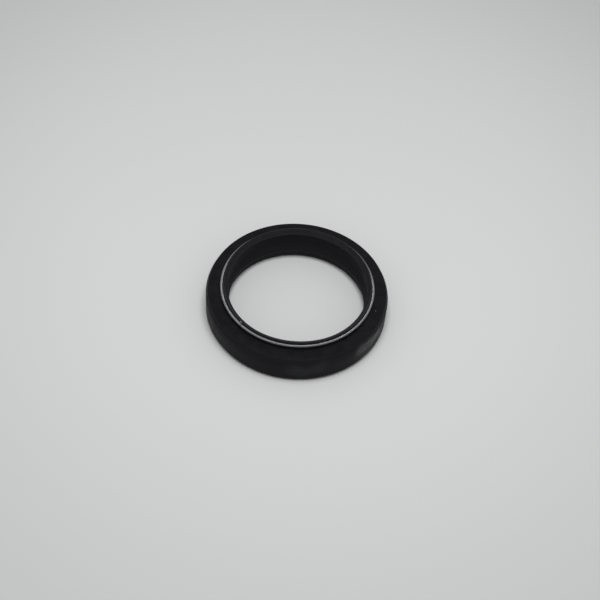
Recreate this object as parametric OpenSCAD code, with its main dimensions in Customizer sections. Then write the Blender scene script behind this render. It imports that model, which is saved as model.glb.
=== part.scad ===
// Shaft seal for a telescopic fork: a moulded rubber ring on a pressed steel case, with a raised
// wiper lip on the air side and an oil lip on the underside, each held in by a garter spring.
// It lies on its oil side, with its axis along Z and the origin at the middle of the bottom face.

/* [Fit] */
// Diameter of the fork tube that both lips run on
tube_d = 43; // [41.5:0.5:44]
// Diameter of the housing bore, and so of the seal's outside
housing_d = 55; // [54:0.5:60]
// How far the wiper edge stands inside the tube's surface before it is fitted
wiper_bite = 0.4; // [0.1:0.05:0.5]
// How far the oil lip's edge stands inside the tube's surface before it is fitted
oil_bite = 1; // [0.5:0.05:1.2]
// How far the nose under the oil lip stands inside the tube's surface before it is fitted
nose_bite = 0.1; // [0:0.05:0.3]

/* [Heights] */
// Height of the flat rim that the retaining ring presses on
rim_h = 9.2; // [8.8:0.1:12]
// Height of the wiper lip's crest above the rim
wiper_rise = 2.75; // [2.6:0.05:3.2]
// Height of the oil lip's sealing edge above the bottom face
oil_edge_z = 3.6; // [3.2:0.1:4]
// Height of the oil lip's nose above the bottom face
nose_z = 0.4; // [0.2:0.1:0.8]

/* [Outer wall] */
// Height of the lead-in chamfer at the bottom of the wall
lead_h = 1.2; // [0.6:0.1:2]
// Width of the lead-in chamfer at the bottom of the wall
lead_w = 0.55; // [0.2:0.05:0.8]
// Height of the chamfer at the top of the wall
shoulder_h = 1.5; // [0.8:0.1:2.2]
// Width of the chamfer at the top of the wall
shoulder_w = 0.65; // [0.3:0.05:0.9]

/* [Steel case] */
// Thickness of the steel
case_t = 1; // [0.6:0.1:1.2]
// Thickness of the rubber over the outside and the top of the case
skin_t = 1.1; // [0.9:0.1:1.4]
// Thickness of the rubber under the lower end of the case
foot_t = 0.9; // [0.6:0.1:1.4]
// Outside radius of the bend between the case's wall and its flange
bend_r = 1.6; // [1.3:0.1:2]
// Distance from the tube to the inner end of the flange
flange_w = 1.6; // [1.3:0.1:1.9]
// Thickness of the rubber that wraps under the inner end of the flange
wrap_t = 0.5; // [0.3:0.1:0.8]
// How far that rubber reaches out along the flange
wrap_w = 0.9; // [0.7:0.1:1.2]
// Thickness of the rubber hook that holds the case's lower end from inside
hook_t = 0.3; // [0.2:0.05:0.5]
// Height of that hook above the case's lower end
hook_h = 0.6; // [0.3:0.1:1]

/* [Wiper lip] */
// Distance from the tube to the outside of the wiper lip's crest
crest_w = 1; // [0.9:0.05:1.1]
// Drop from the crest to the wiper edge
crest_drop = 1.4; // [1:0.05:1.6]
// Height of the narrow land that trimming leaves at the wiper edge
trim_h = 0.12; // [0.05:0.01:0.2]
// Thickness of the lip at its crest
crest_t = 0.45; // [0.4:0.05:0.6]
// Distance from the tube to the wall of the groove under the wiper edge
recess_w = 0.25; // [0.15:0.05:0.4]
// Angle of the wiper lip's underside, from the axis
undercut_angle = 20; // [18:1:35]
// Distance from the tube to the foot of the wiper lip, on the rim
wiper_foot_w = 1.8; // [1.7:0.05:2.2]
// Angle below level at which the lip lets go of its spring
shelf_angle = 40; // [20:1:50]

/* [Oil lip] */
// Height above the bottom face at which the oil lip starts to slope in
oil_lip_top = 6.4; // [6:0.1:7.4]
// Radius of the bend there
oil_lip_bend_r = 3; // [1:0.5:4]
// Height of the land at the oil lip's sealing edge
land_h = 0.4; // [0.3:0.05:0.6]
// Angle of the bevel under the sealing edge, from the axis
nose_angle = 35; // [25:1:40]
// Width of the nose's flat end
nose_w = 0.8; // [0.5:0.05:1]
// Distance from the tube to the outer wall of the oil lip
oil_wall_w = 1.1; // [1:0.05:1.3]

/* [Garter springs] */
// Outside diameter of the spring's coil
coil_d = 1; // [0.9:0.05:1.1]
// Gap between a spring and its groove
seat_gap = 0.05; // [0.03:0.01:0.08]
// Distance from the tube to the middle of the wiper lip's spring
wiper_spring_w = 1.25; // [1.15:0.05:1.35]
// Drop from the wiper lip's crest to the middle of its spring
wiper_spring_drop = 1.4; // [1.3:0.05:1.6]
// Distance from the tube to the middle of the oil lip's spring
oil_spring_w = 0.95; // [0.9:0.05:1]
// Height of the oil lip's spring above the middle of the sealing edge
oil_spring_lift = 0.3; // [0.1:0.05:0.6]

/* [Mould marks] */
// Number of notches that the mould's locating pins leave in the foot
pin_notches = 6; // [3:1:12]
// Width of one notch
notch_w = 2.2; // [1.5:0.1:3]
// How far a notch stops short of the case's outer face
notch_stop = 0.2; // [0.1:0.05:0.4]

/* [Edges] */
// Radius of the small moulded edges, and of the corner at the wiper lip's foot
edge_r = 0.15; // [0.08:0.01:0.2]
// Radius of the crest's outer edge
crest_edge_r = 0.35; // [0.15:0.05:0.35]
// Radius of the bends of the outer wall and the rim's outer edge
wall_edge_r = 0.3; // [0.15:0.05:0.4]
// Radius of the fillet between the oil lip and the cavity's ceiling
fillet_r = 0.5; // [0.3:0.05:0.6]

/* [Hidden] */
$fn = 180;
arc_steps = 8;

tube_r = tube_d / 2;
outer_r = housing_d / 2;
coil_r = coil_d / 2;
groove_r = coil_r + seat_gap;

// Steel case: outside radius, inside radius, top of the flange, and the cavity's ceiling
case_r = outer_r - skin_t;
case_inner_r = case_r - case_t;
case_top = rim_h - skin_t;
cavity_top = case_top - case_t;
flange_r = tube_r + flange_w;
wrap_r = flange_r + wrap_w;
hook_r = case_inner_r - hook_t;

// Wiper lip
crest_z = rim_h + wiper_rise;
wiper_edge_r = tube_r - wiper_bite;
wiper_edge_z = crest_z - crest_drop;
wiper_land_z = wiper_edge_z - trim_h;
wiper_spring_at = [tube_r + wiper_spring_w, crest_z - wiper_spring_drop];
shelf = wiper_spring_at + coil_r * [cos(shelf_angle), -sin(shelf_angle)];
recess_r = tube_r + recess_w;
recess_top = wiper_land_z - (recess_r - wiper_edge_r) / tan(undercut_angle);

// Oil lip
oil_edge_r = tube_r - oil_bite;
nose_r = tube_r - nose_bite;
nose_top = oil_edge_z - (nose_r - oil_edge_r) / tan(nose_angle);
oil_wall_r = tube_r + oil_wall_w;
oil_spring_at = [tube_r + oil_spring_w, oil_edge_z + land_h / 2 + oil_spring_lift];

// Points of the arc of radius r that rounds the corner b on the way from a to c
function corner(a, b, c, r) =
    let (u = (a - b) / norm(a - b), v = (c - b) / norm(c - b),
         half = acos(u * v) / 2,
         middle = b + (u + v) / norm(u + v) * r / sin(half),
         first = b + u * r / tan(half) - middle,
         last = b + v * r / tan(half) - middle,
         turn = atan2(first[0] * last[1] - first[1] * last[0], first * last),
         start = atan2(first[1], first[0]))
    [for (i = [0 : arc_steps])
        let (angle = start + turn * i / arc_steps) middle + r * [cos(angle), sin(angle)]];

// Outline through corners that are given as [radius, height, rounding]
function rounded(corners) =
    let (n = len(corners), at = [for (c = corners) [c[0], c[1]]])
    [for (i = [0 : n - 1])
        each corners[i][2] > 0
            ? corner(at[(i + n - 1) % n], at[i], at[(i + 1) % n], corners[i][2])
            : [at[i]]];

// Half section of the rubber. Past the hook and the wrap it runs through the middle of the
// steel, which is cut out of it afterwards.
function rubber_corners() = [
    // Foot, outer wall and rim
    [hook_r, 0, edge_r],
    [outer_r - lead_w, 0, edge_r],
    [outer_r, lead_h, wall_edge_r],
    [outer_r, rim_h - shoulder_h, wall_edge_r],
    [outer_r - shoulder_w, rim_h, wall_edge_r],
    // Outside of the wiper lip, by way of its spring, and the crest
    [tube_r + wiper_foot_w, rim_h, edge_r],
    [shelf[0], shelf[1], 0],
    [tube_r + crest_w, wiper_spring_at[1], 0],
    [tube_r + crest_w, crest_z, crest_edge_r],
    [tube_r + crest_w - crest_t, crest_z, 0],
    // Inside, from the wiper edge down to the oil lip's nose
    [wiper_edge_r, wiper_edge_z, 0],
    [wiper_edge_r, wiper_land_z, 0],
    [recess_r, recess_top, edge_r],
    [recess_r, oil_lip_top, oil_lip_bend_r],
    [oil_edge_r, oil_edge_z + land_h, 0],
    [oil_edge_r, oil_edge_z, 0],
    [nose_r, nose_top, edge_r],
    [nose_r, nose_z, edge_r],
    // Outside of the oil lip, and the wrap round the flange
    [nose_r + nose_w, nose_z, edge_r],
    [oil_wall_r, oil_spring_at[1] - coil_d, edge_r],
    [oil_wall_r, cavity_top - wrap_t, fillet_r],
    [wrap_r, cavity_top - wrap_t, edge_r],
    [wrap_r, cavity_top + case_t / 2, 0],
    // Down the cavity to the hook
    [case_inner_r + case_t / 2, cavity_top + case_t / 2, 0],
    [case_inner_r + case_t / 2, foot_t + hook_h, 0],
    [hook_r, foot_t + hook_h, edge_r],
];

module case_section() {
    translate([case_inner_r, foot_t]) square([case_t, case_top - bend_r - foot_t]);
    translate([flange_r, cavity_top]) square([case_r - bend_r - flange_r, case_t]);
    translate([case_r - bend_r, case_top - bend_r])
        intersection() {
            difference() {
                circle(bend_r);
                circle(bend_r - case_t);
            }
            square(bend_r);
        }
}

module ring_of_wire(at, r) {
    rotate_extrude() translate(at) circle(r);
}

// Notches at the foot, where pins held the case in the mould
module pin_marks() {
    for (i = [0 : pin_notches - 1])
        rotate(i * 360 / pin_notches)
            translate([case_inner_r - case_t, -notch_w / 2, -foot_t])
                cube([2 * case_t - notch_stop, notch_w, 2 * foot_t + 2 * hook_h]);
}

module seal_body() {
    color([0.10, 0.10, 0.11])
        difference() {
            rotate_extrude() polygon(rounded(rubber_corners()));
            rotate_extrude() case_section();
            ring_of_wire(wiper_spring_at, groove_r);
            ring_of_wire(oil_spring_at, groove_r);
            pin_marks();
        }
}

module steel_case() {
    color([0.46, 0.44, 0.42]) rotate_extrude() case_section();
}

module wiper_spring() {
    color([0.80, 0.81, 0.82]) ring_of_wire(wiper_spring_at, coil_r);
}

module oil_spring() {
    color([0.80, 0.81, 0.82]) ring_of_wire(oil_spring_at, coil_r);
}

seal_body();
steel_case();
wiper_spring();
oil_spring();
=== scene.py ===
# Looks of the fork seal: matt black rubber with a trimmed lip, coiled garter springs and a dull steel case
import math

import bmesh
import bpy
from mathutils import Matrix, Vector, noise

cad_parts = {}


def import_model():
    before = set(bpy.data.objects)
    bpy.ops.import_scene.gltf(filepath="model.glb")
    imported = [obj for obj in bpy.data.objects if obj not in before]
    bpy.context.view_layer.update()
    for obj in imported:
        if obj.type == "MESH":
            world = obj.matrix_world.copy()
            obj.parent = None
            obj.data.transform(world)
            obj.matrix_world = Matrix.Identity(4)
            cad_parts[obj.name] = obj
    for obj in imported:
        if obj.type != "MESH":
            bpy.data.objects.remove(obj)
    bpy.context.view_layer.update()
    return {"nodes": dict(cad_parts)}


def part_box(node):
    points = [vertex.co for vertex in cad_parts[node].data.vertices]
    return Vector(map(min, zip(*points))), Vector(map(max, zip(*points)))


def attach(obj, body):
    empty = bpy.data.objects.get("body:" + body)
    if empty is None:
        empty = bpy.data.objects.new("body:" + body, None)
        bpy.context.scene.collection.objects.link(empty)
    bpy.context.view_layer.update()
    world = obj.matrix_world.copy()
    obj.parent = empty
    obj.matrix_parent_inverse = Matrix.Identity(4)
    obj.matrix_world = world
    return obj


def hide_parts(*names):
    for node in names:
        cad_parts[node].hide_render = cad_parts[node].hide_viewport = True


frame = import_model()

# Lengths are in metres and angles in degrees where nothing else is said
MM = 0.001
UP = Vector((0, 0, 1))

# Places of the mix node's sockets for colours
MIX_SHARE = 0
MIX_FIRST = 6
MIX_SECOND = 7
MIX_RESULT = 2

# Camera, placed as for the photograph
CAMERA_DISTANCE = 0.3986
CAMERA_ELEVATION = 50.69
CAMERA_AIM = (0.001087, 0.003402, 0.0)
CAMERA_ROLL = 4.74
CAMERA_LENS = 78.0
SENSOR_WIDTH = 36.0
CAMERA_NEAR = 0.01

# Floor: pale, with painted shade that makes it a little darker away from a point behind the seal
FLOOR_SIZE = 6.0
FLOOR_COLOUR = (0.608, 0.612, 0.614, 1)
FLOOR_PAINTED_SHADE_COLOUR = (0.526, 0.529, 0.531, 1)
FLOOR_FADE_MIDDLE = (0.0, 0.06, 0.0)
FLOOR_FADE = (0.06, 0.20)
FLOOR_ROUGHNESS = 0.8
FLOOR_SPECULAR = 0.2

# Light: a white dome that is brighter in front than behind, and a square lamp above the seal
DOME_COLOUR = (1, 1, 1, 1)
FRONT_LIGHT = 0.64
BACK_LIGHT = 0.42
OVERHEAD_POWER = 0.78
OVERHEAD_SIZE = 0.14
OVERHEAD_AT = (0.008, -0.034, 0.36)

# Zones of the rubber: heights and distances from the axis at which they end, and half the width
# over which each end fades. The wiper edge, with its land below, is measured down from the top
WIPER_EDGE_DROP = 1.4 * MM
WIPER_LAND = 0.12 * MM
LAND_OVERLAP = 0.08 * MM
LAND_OUTER_R = 21.35 * MM
EDGE_FADE = 0.02 * MM
TRIM_OUTER_R = 22.08 * MM
TRIM_FADE = 0.03 * MM
CREST_Z = 11.2 * MM
RIM_Z = 9.2 * MM
SHOULDER_R = 26.8 * MM
SHOULDER_Z = 7.7 * MM
BEND_FADE = 0.2 * MM
BORE_R = 21.85 * MM
BORE_TOP_FADE = 0.025 * MM
CORNER_FADE = 0.05 * MM
NOSE_HEIGHTS = (0.5 * MM, 3.8 * MM)
NOSE_FADE = 0.15 * MM
WALL_R = 26.9 * MM
WALL_FADE = 0.1 * MM
UPPER_WALL_HEIGHTS = (5.9 * MM, SHOULDER_Z)
UPPER_WALL_FADE = 0.9 * MM

# Colours of the rubber. A pair is the dark and the pale end of the mottling
RUBBER_TONES = ((0.0062, 0.0061, 0.0074, 1), (0.0102, 0.0101, 0.0120, 1))
WALL_TONES = ((0.0081, 0.0080, 0.0093, 1), (0.0126, 0.0125, 0.0143, 1))
BEVEL_TONES = ((0.0143, 0.0142, 0.0166, 1), (0.0189, 0.0188, 0.0218, 1))
SHOULDER_COLOUR = (0.0104, 0.0103, 0.0122, 1)
# Paler crest of the wiper lip: a painted highlight on its rounded top
CREST_PAINTED_HIGHLIGHT = (0.0220, 0.0219, 0.0250, 1)
BORE_COLOUR = (0.0116, 0.0115, 0.0136, 1)
# Paler nose low in the bore: painted light that lifts the shade near the floor
NOSE_PAINTED_LIGHT = (0.0180, 0.0179, 0.0203, 1)
# Paler band on the land under the wiper edge: a painted highlight along that edge
LAND_PAINTED_HIGHLIGHT = (0.0260, 0.0260, 0.0280, 1)
# Pale grey of the smears on the outer wall: painted sheen
SMEAR_PAINTED_SHEEN_COLOUR = (0.0620, 0.0650, 0.0670, 1)

# Finish of the rubber, and what the trimmed bevel, a smear and the clean upper wall add to it or take off
RUBBER_ROUGHNESS = (0.42, 0.52)
BEVEL_ROUGHER = 0.40
SMEAR_SMOOTHER = 0.10
UPPER_WALL_ROUGHER = 0.14
RUBBER_SPECULAR = 0.048
TURNED_DEPTH = 0.012 * MM
GRAIN_DEPTH = 0.03 * MM
RUBBER_BUMP = 0.6

# Noises: scale, detail and roughness. One noise lies mostly in NOISE_RANGE, a sum of two in PAIR_RANGE
NOISE_RANGE = (0.3, 0.7)
NOISE_MIDDLE = 0.5
PAIR_RANGE = (0.75, 1.25)
BLOTCH_NOISE = (350.0, 3.0, 0.55)
SPECK_NOISE = (2600.0, 4.0, 0.65)
TURNED_NOISE = (9000.0, 2.0, 0.5)
GRAIN_NOISE = (9000.0, 4.0, 0.6)
TEAR_NOISE = (260.0, 5.0, 0.6)
DRIFT_NOISE = (130.0, 2.0, 0.5)
WIPE_NOISE = (420.0, 5.0, 0.62)
PHOSPHATE_NOISE = (900.0, 5.0, 0.6)
STEEL_GRAIN_NOISE = (6000.0, 3.0, 0.5)
STREAK_NOISE = (2500.0, 3.0, 0.5)
DUST_NOISE = (9000.0, 3.0, 0.5)

# Smears on the outer wall, whose pale grey is painted sheen and whose smoother finish is real: ring angle,
# reach to each side, heights from and to (mm), strength
WALL_SMEARS_AND_SHEEN = (
    (-34.0, 18.5, 4.0, 8.0, 1.0),
    (-38.0, 13.0, 1.4, 4.8, 0.26),
    (-80.0, 17.0, 3.0, 8.0, 0.20),
)
SMEAR_SHEEN_CORE = 0.25
SMEAR_SHEEN_FADE = 1.2 * MM
SMEAR_SHEEN_DRIFT = 6.0 * MM
SMEAR_SHEEN_FLATNESS = 1.8
SMEAR_SHEEN_RAGGEDNESS = 0.8
SMEAR_SHEEN_TORN = (0.55, 1.50)
SMEAR_SHEEN_WIPED = (0.5, 1.0)

# Pressed steel of the case
STEEL_TONES = ((0.16, 0.15, 0.14, 1), (0.30, 0.28, 0.26, 1))
STEEL_METALLIC = 0.85
STEEL_ROUGHNESS = (0.42, 0.6)
STEEL_GRAIN_DEPTH = 0.01 * MM
STEEL_BUMP = 0.5

# Garter springs: a close coil of wire whose ends meet at one place, where one end sticks up
WIRE_TONES = ((0.31, 0.315, 0.32, 1), (0.38, 0.385, 0.39, 1))
WIRE_ROUGHNESS = (0.30, 0.38)
WIRE_D = 0.25 * MM
COIL_PLAY = 1.04
POINTS_PER_TURN = 14
WIRE_SIDES = 7
SPRING_JOINT = -133.0
WIRE_END_TURN = 100.0
# Points of that end: degrees on from the joint, then out from the spring's middle and up (mm)
WIRE_END = ((0.0, -0.11, 0.55), (-0.5, -0.115, 0.85), (-1.0, -0.135, 1.12), (-1.3, -0.18, 1.27))

# A fleck of dust on the rim: ring angle, distance from the axis, length and width
FLECK_AT = 345.6
FLECK_R = 24.56 * MM
FLECK_LENGTH = 0.34 * MM
FLECK_WIDTH = 0.16 * MM
FLECK_FLATNESS = 3
FLECK_CUT = 0.2
FLECK_UNEVENNESS = 0.45
FLECK_UNEVEN_SCALE = 1.7
FLECK_TONES = ((0.15, 0.15, 0.15, 1), (0.32, 0.32, 0.32, 1))
FLECK_ROUGHNESS = 0.9


def added(name, data):
    """An object that holds the data, put into the scene."""
    made = bpy.data.objects.new(name, data)
    bpy.context.scene.collection.objects.link(made)
    return made


def object_of(name, vertices, faces, material):
    """A smooth mesh object made from vertices and faces. Faces of more than four corners stay flat."""
    mesh = bpy.data.meshes.new(name)
    mesh.from_pydata(vertices, [], faces)
    mesh.update()
    mesh.polygons.foreach_set("use_smooth", [len(face) <= 4 for face in faces])
    mesh.materials.append(material)
    return added(name, mesh)


def polar(angle, radius, height=0.0):
    """The point at an angle in degrees round the seal's axis."""
    turn = math.radians(angle)
    return Vector((radius * math.cos(turn), radius * math.sin(turn), height))


class Shader:
    """A node material, with short calls for the nodes that the materials here share."""

    def __init__(self, name):
        self.material = bpy.data.materials.new(name)
        self.material.use_nodes = True
        self.tree = self.material.node_tree
        self.surface = self.tree.nodes["Principled BSDF"]
        self.place = self.node("ShaderNodeTexCoord").outputs["Object"]

    def node(self, kind, **settings):
        made = self.tree.nodes.new(kind)
        for key, value in settings.items():
            setattr(made, key, value)
        return made

    def put(self, socket, value):
        """Links the socket to another one, or sets its plain value."""
        if isinstance(value, bpy.types.NodeSocket):
            self.tree.links.new(value, socket)
        else:
            socket.default_value = value

    def give(self, name, value):
        """Gives one of the surface's own inputs a value or a link."""
        self.put(self.surface.inputs[name], value)

    def maths(self, operation, *values):
        made = self.node("ShaderNodeMath", operation=operation)
        for socket, value in zip(made.inputs, values):
            self.put(socket, value)
        return made.outputs[0]

    def times(self, first, second):
        return self.maths("MULTIPLY", first, second)

    def parts(self):
        """X, Y, Z and the distance from the axis."""
        made = self.node("ShaderNodeSeparateXYZ")
        self.put(made.inputs[0], self.place)
        x, y, z = made.outputs
        square = self.maths("ADD", self.times(x, x), self.times(y, y))
        return x, y, z, self.maths("SQRT", square)

    def vector(self, *values):
        made = self.node("ShaderNodeCombineXYZ")
        for socket, value in zip(made.inputs, values):
            self.put(socket, value)
        return made.outputs[0]

    def noise(self, scale, detail, roughness, place=None):
        made = self.node("ShaderNodeTexNoise")
        self.put(made.inputs["Vector"], place or self.place)
        self.put(made.inputs["Scale"], scale)
        self.put(made.inputs["Detail"], detail)
        self.put(made.inputs["Roughness"], roughness)
        return made.outputs["Fac"]

    def spread(self, value, low, high, to_low=0.0, to_high=1.0):
        """Goes smoothly from to_low to to_high while the value goes from low to high."""
        made = self.node("ShaderNodeMapRange", interpolation_type="SMOOTHSTEP")
        for socket, number in zip(made.inputs, (value, low, high, to_low, to_high)):
            self.put(socket, number)
        return made.outputs[0]

    def above(self, value, limit, fade):
        """1 where the value lies above the limit, 0 below it."""
        return self.spread(value, limit - fade, limit + fade)

    def below(self, value, limit, fade):
        """1 where the value lies below the limit, 0 above it."""
        return self.spread(value, limit - fade, limit + fade, 1.0, 0.0)

    def within(self, value, low, high, fade):
        """1 where the value lies between low and high, 0 outside."""
        return self.times(self.above(value, low, fade), self.below(value, high, fade))

    def around(self, x, y, radius, angle, reach):
        """1 at a ring angle, falling to 0 at reach degrees to each side."""
        way = polar(angle, 1.0)
        along = self.maths("ADD", self.times(x, way.x), self.times(y, way.y))
        cosine = self.maths("DIVIDE", along, radius)
        core = SMEAR_SHEEN_CORE * reach
        return self.spread(cosine, math.cos(math.radians(reach)), math.cos(math.radians(core)))

    def blend(self, share, first, second):
        made = self.node("ShaderNodeMix", data_type="RGBA")
        self.put(made.inputs[MIX_SHARE], share)
        self.put(made.inputs[MIX_FIRST], first)
        self.put(made.inputs[MIX_SECOND], second)
        return made.outputs[MIX_RESULT]

    def bump(self, height, distance, strength, under=None):
        made = self.node("ShaderNodeBump")
        self.put(made.inputs["Height"], height)
        self.put(made.inputs["Distance"], distance)
        self.put(made.inputs["Strength"], strength)
        if under is not None:
            self.put(made.inputs["Normal"], under)
        return made.outputs[0]


def rubber_zones(s, z, radius):
    """Masks of the zones of the rubber that differ in colour or finish."""
    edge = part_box("seal_body")[1].z - WIPER_EDGE_DROP
    land_z = edge - WIPER_LAND
    wall = s.above(radius, WALL_R, WALL_FADE)
    bore = s.times(s.below(z, land_z - BORE_TOP_FADE, BORE_TOP_FADE), s.below(radius, BORE_R, CORNER_FADE))
    return {
        "bevel": s.times(s.above(z, edge, EDGE_FADE), s.below(radius, TRIM_OUTER_R, TRIM_FADE)),
        "land": s.times(s.within(z, land_z, edge + LAND_OVERLAP, TRIM_FADE),
                        s.below(radius, LAND_OUTER_R, CORNER_FADE)),
        "crest": s.times(s.above(z, CREST_Z, BEND_FADE), s.above(radius, TRIM_OUTER_R, TRIM_FADE)),
        "shoulder": s.times(s.above(z, SHOULDER_Z, BEND_FADE), s.above(radius, SHOULDER_R, CORNER_FADE)),
        "bore": bore,
        "nose": s.times(bore, s.within(z, *NOSE_HEIGHTS, NOSE_FADE)),
        "wall": wall,
        "upper_wall": s.times(wall, s.within(z, *UPPER_WALL_HEIGHTS, UPPER_WALL_FADE)),
    }


def smears_and_painted_sheen(s, x, y, z, radius):
    """Mask of the smears on the outer wall, whose pale grey is painted sheen, with torn edges that drift
    up and down.
    """
    tear = s.noise(*TEAR_NOISE, s.vector(x, y, s.times(z, SMEAR_SHEEN_FLATNESS)))
    ragged = s.times(tear, SMEAR_SHEEN_RAGGEDNESS)
    drift = s.maths("SUBTRACT", s.noise(*DRIFT_NOISE), NOISE_MIDDLE)
    drifting_z = s.maths("ADD", z, s.times(drift, SMEAR_SHEEN_DRIFT))
    smear_and_sheen = 0.0
    for angle, reach, low, high, strength in WALL_SMEARS_AND_SHEEN:
        spot = s.times(s.around(x, y, radius, angle, reach),
                       s.within(drifting_z, low * MM, high * MM, SMEAR_SHEEN_FADE))
        torn = s.spread(s.maths("ADD", spot, ragged), *SMEAR_SHEEN_TORN)
        smear_and_sheen = s.maths("MAXIMUM", smear_and_sheen, s.times(torn, strength))
    return s.times(smear_and_sheen, s.spread(s.noise(*WIPE_NOISE), *NOISE_RANGE, *SMEAR_SHEEN_WIPED))


def rubber():
    """Matt black nitrile rubber from a turned mould, with a trimmed lip and smears on the outer wall. The
    smears' pale grey is painted sheen, the paler wiper land and crest are painted highlights, and the
    paler nose is painted light.
    """
    s = Shader("nitrile_rubber")
    x, y, z, radius = s.parts()
    zones = rubber_zones(s, z, radius)
    smear_and_sheen = s.times(smears_and_painted_sheen(s, x, y, z, radius), zones["wall"])
    blotch = s.noise(*BLOTCH_NOISE)
    mottle = s.spread(s.maths("ADD", blotch, s.noise(*SPECK_NOISE)), *PAIR_RANGE)

    colour = s.blend(mottle, *RUBBER_TONES)
    for mask, tone in (
        (zones["wall"], s.blend(mottle, *WALL_TONES)),
        (zones["shoulder"], SHOULDER_COLOUR),
        # painted highlight on the crest of the wiper lip
        (zones["crest"], CREST_PAINTED_HIGHLIGHT),
        (zones["bore"], BORE_COLOUR),
        # painted light on the nose, lifting its shade near the floor
        (zones["nose"], NOSE_PAINTED_LIGHT),
        (zones["bevel"], s.blend(mottle, *BEVEL_TONES)),
        # painted highlight on the land under the wiper edge
        (zones["land"], LAND_PAINTED_HIGHLIGHT),
        # painted sheen: the pale grey of the smears
        (smear_and_sheen, SMEAR_PAINTED_SHEEN_COLOUR),
    ):
        colour = s.blend(mask, colour, tone)
    s.give("Base Color", colour)

    clean_wall = s.times(zones["upper_wall"], s.maths("SUBTRACT", 1.0, smear_and_sheen))
    rough = s.spread(blotch, *NOISE_RANGE, *RUBBER_ROUGHNESS)
    rough = s.maths("ADD", rough, s.times(zones["bevel"], BEVEL_ROUGHER))
    rough = s.maths("SUBTRACT", rough, s.times(smear_and_sheen, SMEAR_SMOOTHER))
    rough = s.maths("ADD", rough, s.times(clean_wall, UPPER_WALL_ROUGHER))
    s.give("Roughness", rough)
    s.give("Specular IOR Level", RUBBER_SPECULAR)

    turned = s.bump(s.noise(*TURNED_NOISE, s.vector(radius, 0.0, z)), TURNED_DEPTH, RUBBER_BUMP)
    s.give("Normal", s.bump(s.noise(*GRAIN_NOISE), GRAIN_DEPTH, RUBBER_BUMP, turned))
    return s.material


def case_steel():
    """Pressed steel, dull and mottled from its phosphate coat."""
    s = Shader("phosphated_steel")
    cloud = s.noise(*PHOSPHATE_NOISE)
    s.give("Base Color", s.blend(cloud, *STEEL_TONES))
    s.give("Metallic", STEEL_METALLIC)
    s.give("Roughness", s.spread(cloud, *NOISE_RANGE, *STEEL_ROUGHNESS))
    s.give("Normal", s.bump(s.noise(*STEEL_GRAIN_NOISE), STEEL_GRAIN_DEPTH, STEEL_BUMP))
    return s.material


def spring_steel():
    """Bright drawn wire, with the streaks of drawing."""
    s = Shader("spring_wire")
    streak = s.noise(*STREAK_NOISE)
    s.give("Base Color", s.blend(streak, *WIRE_TONES))
    s.give("Metallic", 1.0)
    s.give("Roughness", s.spread(streak, *NOISE_RANGE, *WIRE_ROUGHNESS))
    return s.material


def dust():
    """Pale dull dust."""
    s = Shader("pale_dust")
    s.give("Base Color", s.blend(s.noise(*DUST_NOISE), *FLECK_TONES))
    s.give("Roughness", FLECK_ROUGHNESS)
    return s.material


def wire(name, path, radius, sides, material):
    """A round wire along a path of points, with flat ends."""
    vertices, faces = [], []
    side = UP.cross(path[1] - path[0]).normalized()
    for i, point in enumerate(path):
        along = (path[min(i + 1, len(path) - 1)] - path[max(i - 1, 0)]).normalized()
        side = (side - side.dot(along) * along).normalized()
        other = along.cross(side)
        for k in range(sides):
            turn = 2 * math.pi * k / sides
            vertices.append(point + radius * (math.cos(turn) * side + math.sin(turn) * other))
    for i in range(len(path) - 1):
        for k in range(sides):
            here, after = i * sides + k, i * sides + (k + 1) % sides
            faces.append((here, after, after + sides, here + sides))
    faces.append(tuple(range(sides))[::-1])
    faces.append(tuple(range(len(vertices) - sides, len(vertices))))
    return object_of(name, vertices, faces, material)


def garter_spring(name, node, material, end_stands):
    """A close coil of wire bent to a ring, in the place of the CAD node's solid ring."""
    low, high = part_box(node)
    coil_r = (high.z - low.z) / 2
    ring_r = high.x - coil_r
    centre_z = (high.z + low.z) / 2
    wire_r = WIRE_D / 2
    mean_r = coil_r - wire_r
    turns = math.floor(2 * math.pi * (ring_r - mean_r) / (WIRE_D * COIL_PLAY)) - 1
    steps = turns * POINTS_PER_TURN
    arc = 360.0 * turns / (turns + 1)
    path = []
    for i in range(steps + 1):
        twist = math.radians(WIRE_END_TURN) + 2 * math.pi * (steps - i) / POINTS_PER_TURN
        path.append(polar(SPRING_JOINT - arc * (1 - i / steps), ring_r + mean_r * math.cos(twist),
                          centre_z + mean_r * math.sin(twist)))
    if end_stands:
        for turn, out, up in WIRE_END:
            path.append(polar(SPRING_JOINT + turn, ring_r + out * MM, centre_z + up * MM))
    coil = wire(name, path, wire_r, WIRE_SIDES, material)
    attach(coil, "root")
    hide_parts(node)


def fleck(name, material):
    """An uneven fleck of dust that lies on the rim."""
    lump = bmesh.new()
    bmesh.ops.create_icosphere(lump, subdivisions=3, radius=1.0)
    middle = polar(FLECK_AT, FLECK_R, RIM_Z)
    out = polar(FLECK_AT, 1.0)
    along = UP.cross(out)
    for vertex in lump.verts:
        uneven = vertex.co * (1 + FLECK_UNEVENNESS * noise.noise(vertex.co * FLECK_UNEVEN_SCALE))
        height = max(uneven.z, -FLECK_CUT) + FLECK_CUT
        vertex.co = (middle + uneven.x * FLECK_LENGTH / 2 * along + uneven.y * FLECK_WIDTH / 2 * out
                     + height * FLECK_WIDTH / FLECK_FLATNESS * UP)
    mesh = bpy.data.meshes.new(name)
    lump.to_mesh(mesh)
    lump.free()
    mesh.materials.append(material)
    made = added(name, mesh)
    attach(made, "root")


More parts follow.
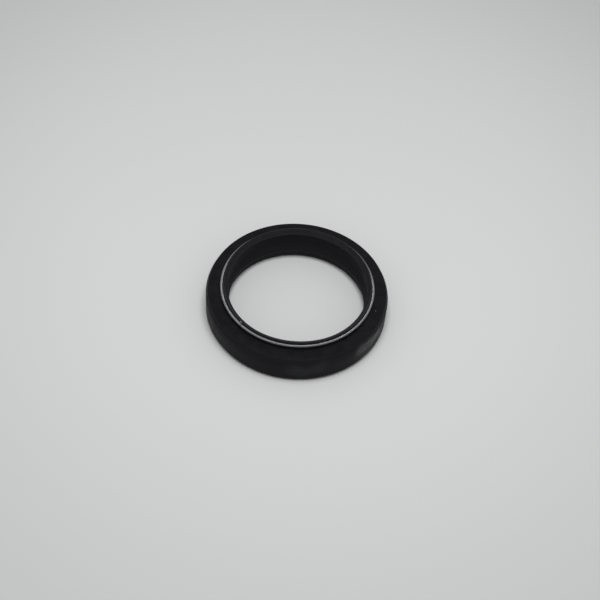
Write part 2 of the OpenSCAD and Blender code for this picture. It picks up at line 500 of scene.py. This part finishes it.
def floor():
    """A wide pale floor, with painted shade that darkens it away from a point behind the seal."""
    s = Shader("pale_floor")
    away = s.node("ShaderNodeVectorMath", operation="DISTANCE")
    s.put(away.inputs[0], s.place)
    s.put(away.inputs[1], FLOOR_FADE_MIDDLE)
    share = s.spread(away.outputs["Value"], *FLOOR_FADE)
    s.give("Base Color", s.blend(share, FLOOR_COLOUR, FLOOR_PAINTED_SHADE_COLOUR))
    s.give("Roughness", FLOOR_ROUGHNESS)
    s.give("Specular IOR Level", FLOOR_SPECULAR)
    h = FLOOR_SIZE / 2
    made = object_of("floor", [(-h, -h, 0), (h, -h, 0), (h, h, 0), (-h, h, 0)], [(0, 1, 2, 3)], s.material)


def world():
    """A white dome whose strength changes evenly from the front to the back."""
    made = bpy.data.worlds.new("studio")
    bpy.context.scene.world = made
    made.use_nodes = True
    tree = made.node_tree
    background = tree.nodes["Background"]
    place = tree.nodes.new("ShaderNodeTexCoord")
    parts = tree.nodes.new("ShaderNodeSeparateXYZ")
    tree.links.new(place.outputs["Generated"], parts.inputs[0])
    depth = tree.nodes.new("ShaderNodeMapRange")
    tree.links.new(parts.outputs["Y"], depth.inputs[0])
    limits = {"From Min": -1.0, "From Max": 1.0, "To Min": FRONT_LIGHT, "To Max": BACK_LIGHT}
    for name, value in limits.items():
        depth.inputs[name].default_value = value
    tree.links.new(depth.outputs[0], background.inputs["Strength"])
    background.inputs["Color"].default_value = DOME_COLOUR


def overhead_light():
    """A square lamp above the seal that shines on its middle."""
    lamp = bpy.data.lights.new("overhead", "AREA")
    lamp.shape = "SQUARE"
    lamp.size = OVERHEAD_SIZE
    lamp.energy = OVERHEAD_POWER
    made = added("overhead", lamp)
    made.location = OVERHEAD_AT
    made.rotation_mode = "QUATERNION"
    made.rotation_quaternion = Vector(OVERHEAD_AT).to_track_quat("Z", "Y")


def camera():
    """The photograph's camera, in front of the seal and turned by a slight roll."""
    e = math.radians(CAMERA_ELEVATION)
    at = CAMERA_DISTANCE * Vector((0, -math.cos(e), math.sin(e)))
    ahead = (Vector(CAMERA_AIM) - at).normalized()
    right = ahead.cross(UP).normalized()
    up = right.cross(ahead)
    roll = math.radians(CAMERA_ROLL)
    x = math.cos(roll) * right + math.sin(roll) * up
    y = math.cos(roll) * up - math.sin(roll) * right
    lens = bpy.data.cameras.new("camera")
    lens.lens = CAMERA_LENS
    lens.sensor_width = SENSOR_WIDTH
    lens.clip_start = CAMERA_NEAR
    made = added("camera", lens)
    made.matrix_world = Matrix.Translation(at) @ Matrix((x, y, -ahead)).transposed().to_4x4()
    bpy.context.scene.camera = made


def dress(node, material):
    """Gives a CAD node its material. The node's shape stays as it is."""
    slots = frame["nodes"][node].data.materials
    slots.clear()
    slots.append(material)


dress("seal_body", rubber())
dress("steel_case", case_steel())
bright_wire = spring_steel()
garter_spring("wiper_garter_spring", "wiper_spring", bright_wire, end_stands=True)
garter_spring("oil_garter_spring", "oil_spring", bright_wire, end_stands=False)
fleck("dust_fleck", dust())
floor()
world()
overhead_light()
camera()
bpy.context.scene.view_settings.view_transform = "Standard"
